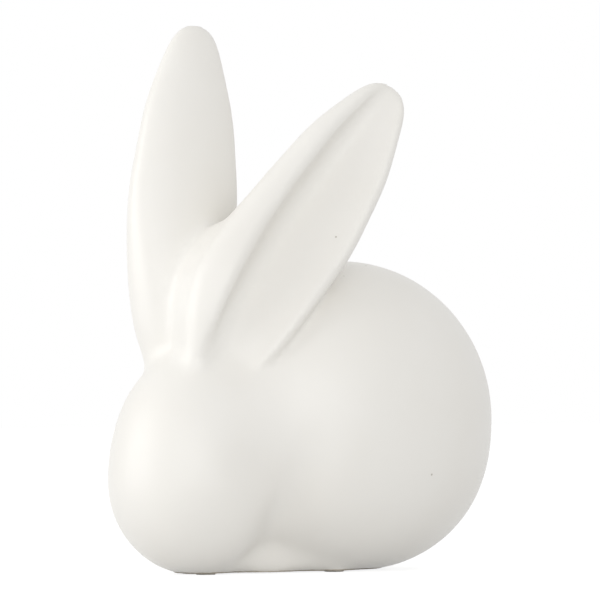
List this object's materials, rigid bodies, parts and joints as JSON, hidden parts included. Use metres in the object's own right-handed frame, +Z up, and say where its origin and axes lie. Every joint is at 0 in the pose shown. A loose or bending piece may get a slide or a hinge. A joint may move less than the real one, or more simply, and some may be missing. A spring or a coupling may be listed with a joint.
{
  "type": "rabbit figurine",
  "caption": "Seated white glazed ceramic rabbit with egg-shaped head and body, one upright ear and one laid-back ear, hollow cast on a flat foot.",
  "frame": {"origin": "bottom centre of the bounding box, on the plane of the felt pads", "axes": "+Z up, -Y the way the rabbit looks, +X its left side"},
  "size_m": [0.0766, 0.13, 0.1662],
  "materials": {
    "glazed_casting": "soft satin white glaze",
    "glazed_ear": "soft satin white glaze",
    "bare_clay": "unglazed fired clay",
    "felt": "pressed wool felt"
  },
  "bodies": {
    "root": {"body_shell": "glazed_casting", "left_ear": "glazed_ear", "right_ear": "glazed_ear", "base_disc": "bare_clay", "front_left_pad": "felt", "front_right_pad": "felt", "rear_left_pad": "felt", "rear_right_pad": "felt"}
  },
  "joints": []
}
